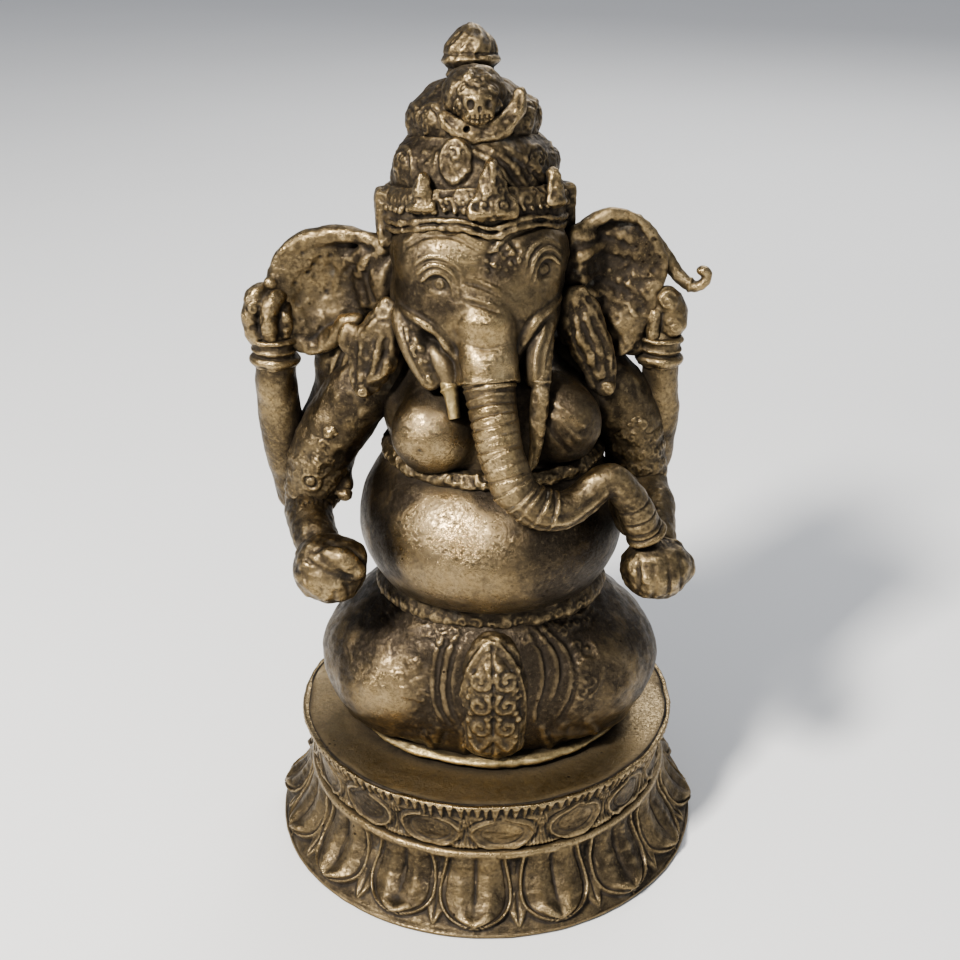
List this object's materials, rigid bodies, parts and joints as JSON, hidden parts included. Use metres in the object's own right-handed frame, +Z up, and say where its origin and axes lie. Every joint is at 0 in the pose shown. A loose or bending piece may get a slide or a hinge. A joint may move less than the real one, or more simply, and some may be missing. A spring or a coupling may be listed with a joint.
{
  "type": "deity statue",
  "caption": "Seated elephant-headed deity figure in aged cast brass, with a tiered crown and curled trunk, on a separate round lotus pedestal.",
  "frame": {"origin": "centre of the pedestal's round foot, on the surface it stands on", "axes": "+Z up along the statue's height; the figure faces -Y; +X is the figure's own left"},
  "size_m": [0.229, 0.229, 0.4203],
  "materials": {
    "aged_brass": "cast brass with a brown age patina, semi-rough",
    "dark_patina": "cast brass, dark brown patina in worked areas, rough",
    "worn_brass": "cast brass rubbed smooth, satin",
    "bright_brass": "smooth golden brass, satin"
  },
  "bodies": {
    "pedestal": {"lotus_base_lower": "dark_patina", "lotus_base_upper": "dark_patina", "seat_plate": "bright_brass"},
    "figure": {"armlet_left": "dark_patina", "armlet_right": "dark_patina", "base_sole": "bright_brass", "bracelet_left": "aged_brass", "bracelet_right": "aged_brass", "chest_band": "dark_patina", "crescent_ornament": "aged_brass", "crown_band": "dark_patina", "crown_finial": "dark_patina", "crown_lower_tier": "dark_patina", "crown_upper_tier": "dark_patina", "ear_left": "dark_patina", "ear_pendant_left": "dark_patina", "ear_pendant_right": "dark_patina", "ear_right": "dark_patina", "front_antefix": "aged_brass", "front_forearm_left": "aged_brass", "front_forearm_right": "aged_brass", "front_hand_left": "aged_brass", "front_hand_right": "aged_brass", "front_sash": "dark_patina", "front_upper_arm_left": "aged_brass", "front_upper_arm_right": "aged_brass", "goad": "dark_patina", "head_casting": "aged_brass", "lap_casting": "aged_brass", "locating_spigot": "dark_patina", "rear_arm_left": "aged_brass", "rear_arm_right": "aged_brass", "rear_hand_left": "aged_brass", "rear_hand_right": "aged_brass", "side_antefixes": "dark_patina", "skull_ornament": "dark_patina", "torso_casting": "worn_brass", "trunk": "aged_brass", "tusk_broken_right": "worn_brass", "tusk_left": "worn_brass", "waist_girdle": "dark_patina"}
  },
  "joints": [
    {"name": "figure_lift", "type": "slide", "parent": "pedestal", "child": "figure", "axis": [0, 0, 1], "range_m": [0, 0.08]}
  ]
}
